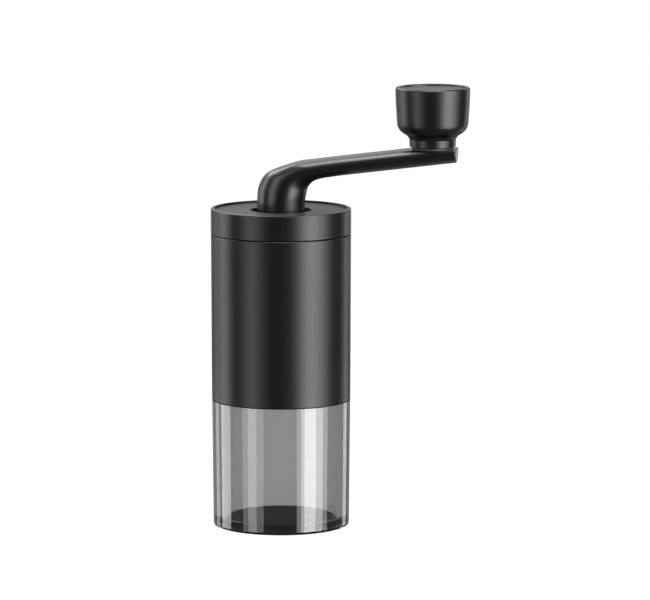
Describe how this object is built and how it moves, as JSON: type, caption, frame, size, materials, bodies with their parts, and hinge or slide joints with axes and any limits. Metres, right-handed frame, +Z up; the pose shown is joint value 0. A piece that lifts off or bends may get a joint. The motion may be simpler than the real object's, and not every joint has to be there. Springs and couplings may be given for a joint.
{
  "type": "hand crank coffee grinder",
  "caption": "Slim cylindrical hand coffee grinder with a lift-off lid, swan-neck crank, free-turning knob, adjustable conical burrs and a clear push-fit catch jar.",
  "frame": {"origin": "centre of the base, where the non-slip pad rests, on the axis of the body", "axes": "+Z up along the body's axis; the crank points along +X at rest"},
  "size_m": [0.096, 0.052, 0.1643],
  "materials": {
    "clear_jar": "clear smoky moulded copolyester, polished",
    "black_sleeve": "black anodised, satin",
    "black_lid": "black anodised, satin, with a polished rim edge",
    "lid_plate_black": "black anodised, fine bead-blasted",
    "black_crank": "black powder coat, satin, smooth",
    "black_knob": "black moulded, satin gloss",
    "black_rubber": "black silicone, matt",
    "inner_plastic": "black glass-filled nylon, fine grain",
    "burr_steel": "hardened stainless, machined",
    "shaft_steel": "turned stainless",
    "bearing_steel": "ground and polished bearing steel",
    "spring_steel": "oiled spring steel"
  },
  "bodies": {
    "jar_assembly": {"jar": "clear_jar", "jar_o_ring": "black_rubber", "non_slip_pad": "black_rubber"},
    "grinder_body": {"outer_sleeve": "black_sleeve", "burr_carrier": "inner_plastic", "outer_burr": "burr_steel", "burr_retainer": "burr_steel", "burr_screws": "shaft_steel", "lower_bridge": "inner_plastic", "lower_bearing_outer_ring": "bearing_steel", "lower_bearing_balls": "bearing_steel", "hopper_liner": "inner_plastic", "upper_bridge": "inner_plastic", "upper_bearing_outer_ring": "bearing_steel", "upper_bearing_balls": "bearing_steel", "retaining_ring": "spring_steel"},
    "rotor": {"drive_shaft": "shaft_steel", "lower_bearing_inner_ring": "bearing_steel", "upper_bearing_inner_ring": "bearing_steel", "shaft_spacer": "shaft_steel", "spring_washer": "spring_steel", "shaft_e_clip": "spring_steel", "burr_spring": "spring_steel"},
    "burr_set": {"inner_burr": "burr_steel", "detent_plate": "shaft_steel"},
    "dial": {"grind_dial": "inner_plastic", "detent_ball": "bearing_steel", "detent_spring": "spring_steel"},
    "lid": {"lid_cap": "black_lid", "lid_plate": "lid_plate_black", "lid_gasket": "black_rubber", "lid_bush": "inner_plastic"},
    "crank": {"crank_arm": "black_crank", "hub_socket": "shaft_steel", "hub_washer": "spring_steel", "hub_circlip": "spring_steel", "knob_axle": "shaft_steel", "axle_washer": "inner_plastic"},
    "crank_knob": {"knob": "black_knob", "knob_collar": "black_knob", "knob_cap": "black_knob", "knob_bush": "inner_plastic", "knob_washer": "spring_steel"}
  },
  "joints": [
    {"name": "body_lift", "type": "slide", "parent": "jar_assembly", "child": "grinder_body", "axis": [0, 0, 1], "range_m": [0, 0.03]},
    {"name": "lid_lift", "type": "slide", "parent": "grinder_body", "child": "lid", "axis": [0, 0, 1], "range_m": [0, 0.02]},
    {"name": "crank_turn", "type": "hinge", "parent": "lid", "child": "crank", "pos_m": [0, 0, 0.115], "axis": [0, 0, 1], "continuous": true},
    {"name": "shaft_turn", "type": "hinge", "parent": "grinder_body", "child": "rotor", "pos_m": [0, 0, 0.09], "axis": [0, 0, 1], "continuous": true},
    {"name": "burr_travel", "type": "slide", "parent": "rotor", "child": "burr_set", "axis": [0, 0, 1], "range_m": [-0.00187, 0.00075], "deforming": ["burr_spring"]},
    {"name": "grind_adjust", "type": "hinge", "parent": "burr_set", "child": "dial", "pos_m": [0, 0, 0.05], "axis": [0, 0, 1], "range_deg": [-900, 360]},
    {"name": "knob_spin", "type": "hinge", "parent": "crank", "child": "crank_knob", "pos_m": [0.0562, 0, 0.15], "axis": [0, 0, 1], "continuous": true}
  ],
  "couplings": [
    {"joint": "shaft_turn", "follows": "crank_turn", "ratio": 1},
    {"joint": "grind_adjust", "follows": "burr_travel", "rad_per_m": 8377.6}
  ]
}
